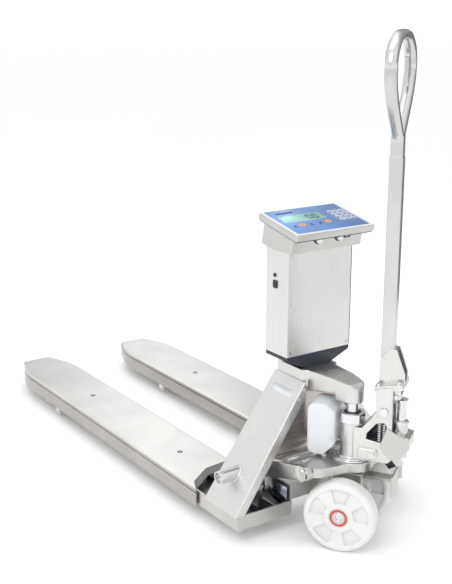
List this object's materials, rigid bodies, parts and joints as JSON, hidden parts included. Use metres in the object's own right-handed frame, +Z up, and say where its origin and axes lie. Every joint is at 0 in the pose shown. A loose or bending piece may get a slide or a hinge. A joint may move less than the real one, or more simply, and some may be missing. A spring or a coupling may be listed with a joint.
{
  "type": "weighing pallet truck",
  "caption": "Hand pallet truck with weighing forks: steered hydraulic pump, loop tiller, lifting linkage to load rollers and a column-mounted weight indicator.",
  "frame": {"origin": "on the floor, under the middle of the whole object's box", "axes": "+X towards the fork tips, +Y to the left of the forks seen by the operator facing them, +Z up"},
  "size_m": [1.6098, 0.56, 1.228],
  "materials": {
    "steel": "brushed stainless sheet",
    "apron_steel": "smooth reflective sheet",
    "cast_steel": "bead-blasted and polished casting",
    "polished_steel": "polished",
    "bright_steel": "ground bright",
    "fastener_steel": "turned",
    "load_cell_steel": "machined",
    "nylon": "moulded white nylon",
    "tank_plastic": "moulded white tank",
    "foot_paint": "dark semi-gloss paint",
    "seal_red": "moulded seal over the bearing",
    "keypad_blue": "printed membrane",
    "lcd_green": "display window",
    "board_green": "solder resist",
    "battery_case": "moulded case",
    "black_plastic": "moulded"
  },
  "bodies": {
    "chassis": {"inner_fork_left": "steel", "inner_fork_right": "steel", "fork_shell_left": "steel", "fork_shell_right": "steel", "fork_screws": "fastener_steel", "load_cells": "load_cell_steel", "leg_left": "steel", "leg_right": "steel", "head_beam": "cast_steel", "lift_ram": "bright_steel", "apron_sheet": "apron_steel", "cross_beam": "steel", "column_shell": "steel", "column_cover": "steel", "column_screws": "fastener_steel", "column_foot": "foot_paint", "battery_pack": "battery_case", "indicator_housing": "steel", "indicator_bezel": "steel", "keypad_film": "keypad_blue", "lcd_window": "lcd_green", "circuit_board": "board_green", "cable_glands": "fastener_steel", "charge_socket": "black_plastic", "fork_pivot_pins": "bright_steel"},
    "power_switch": {"rocker_switch": "black_plastic"},
    "lift_base": {"base_plate": "steel", "base_collar": "bright_steel", "thrust_ring": "bright_steel", "base_pins": "bright_steel", "grease_cap": "nylon"},
    "pump": {"pump_body": "cast_steel", "gland_nut": "bright_steel", "oil_tank": "tank_plastic", "axle_block": "cast_steel", "steer_axle": "bright_steel", "rear_guard": "steel", "plunger_housing": "cast_steel"},
    "wheel_l": {"wheel_left": "nylon", "wheel_bearing_left": "seal_red"},
    "wheel_r": {"wheel_right": "nylon", "wheel_bearing_right": "seal_red"},
    "tiller": {"tiller_yoke": "cast_steel", "tiller_pin": "bright_steel", "cam_roller": "bright_steel", "tiller_foot": "cast_steel", "tiller_shaft": "polished_steel", "tiller_grip": "polished_steel"},
    "lever": {"control_lever": "polished_steel"},
    "release_rod": {"control_rod": "bright_steel"},
    "plunger": {"pump_plunger": "bright_steel"},
    "crank": {"torsion_shaft": "bright_steel", "crank_left": "steel", "crank_right": "steel"},
    "rod_l": {"push_rod_left": "steel"},
    "rod_r": {"push_rod_right": "steel"},
    "frame_l": {"roller_frame_left": "steel"},
    "frame_r": {"roller_frame_right": "steel"},
    "roller_l": {"load_roller_left": "nylon"},
    "roller_r": {"load_roller_right": "nylon"}
  },
  "joints": [
    {"name": "lift", "type": "slide", "parent": "chassis", "child": "lift_base", "axis": [0, 0, -1], "range_m": [0, 0.115]},
    {"name": "steer", "type": "hinge", "parent": "lift_base", "child": "pump", "pos_m": [-0.65701, 0, 0.2], "axis": [0, 0, 1], "range_deg": [-125, 55]},
    {"name": "wheel_spin_left", "type": "hinge", "parent": "pump", "child": "wheel_l", "pos_m": [-0.70634, 0.07045, 0.09], "axis": [-0.5736, 0.8192, 0], "continuous": true},
    {"name": "wheel_spin_right", "type": "hinge", "parent": "pump", "child": "wheel_r", "pos_m": [-0.60768, -0.07045, 0.09], "axis": [-0.5736, 0.8192, 0], "continuous": true},
    {"name": "tiller_tilt", "type": "hinge", "parent": "pump", "child": "tiller", "pos_m": [-0.72746, -0.04933, 0.349], "axis": [0.5736, -0.8192, 0], "range_deg": [0, 70], "stiffness_Nm_per_rad": 10, "springref_deg": -28.65},
    {"name": "lever_squeeze", "type": "hinge", "parent": "tiller", "child": "lever", "pos_m": [-0.67166, -0.12379, 1.133], "axis": [0.8192, 0.5736, 0], "range_deg": [-8, 8], "stiffness_Nm_per_rad": 1},
    {"name": "release_pull", "type": "slide", "parent": "tiller", "child": "release_rod", "axis": [0, 0, 1], "range_m": [-0.005, 0.005]},
    {"name": "plunger_stroke", "type": "slide", "parent": "pump", "child": "plunger", "axis": [0, 0, -1], "range_m": [0, 0.046]},
    {"name": "crank_turn", "type": "hinge", "parent": "chassis", "child": "crank", "pos_m": [-0.47901, 0, 0.15], "axis": [0, -1, 0], "range_deg": [0, 36.86]},
    {"name": "rod_swing_left", "type": "hinge", "parent": "crank", "child": "rod_l", "pos_m": [-0.49477, 0.166, 0.10255], "axis": [0, 1, 0], "range_deg": [0, 36.86]},
    {"name": "rod_swing_right", "type": "hinge", "parent": "crank", "child": "rod_r", "pos_m": [-0.49477, -0.166, 0.10255], "axis": [0, 1, 0], "range_deg": [0, 36.86]},
    {"name": "frame_turn_left", "type": "hinge", "parent": "chassis", "child": "frame_l", "pos_m": [0.44299, 0.192, 0.03], "axis": [0, 1, 0], "range_deg": [0, 56.2]},
    {"name": "frame_turn_right", "type": "hinge", "parent": "chassis", "child": "frame_r", "pos_m": [0.44299, -0.192, 0.03], "axis": [0, 1, 0], "range_deg": [0, 56.2]},
    {"name": "roller_spin_left", "type": "hinge", "parent": "frame_l", "child": "roller_l", "pos_m": [0.57781, 0.192, 0.037], "axis": [0, 1, 0], "continuous": true},
    {"name": "roller_spin_right", "type": "hinge", "parent": "frame_r", "child": "roller_r", "pos_m": [0.57781, -0.192, 0.037], "axis": [0, 1, 0], "continuous": true},
    {"name": "switch_rock", "type": "hinge", "parent": "chassis", "child": "power_switch", "pos_m": [-0.47301, 0.1005, 0.619], "axis": [1, 0, 0], "range_deg": [-6, 6]}
  ],
  "couplings": [
    {"joint": "crank_turn", "follows": "lift", "rad_per_m": 5.5783},
    {"joint": "rod_swing_left", "follows": "lift", "rad_per_m": 5.5783},
    {"joint": "rod_swing_right", "follows": "lift", "rad_per_m": 5.5783},
    {"joint": "frame_turn_left", "follows": "lift", "rad_per_m": 8.5145},
    {"joint": "frame_turn_right", "follows": "lift", "rad_per_m": 8.5145},
    {"joint": "plunger_stroke", "follows": "tiller_tilt", "m_per_rad": 0.0376},
    {"joint": "release_pull", "follows": "lever_squeeze", "m_per_rad": 0.034}
  ]
}
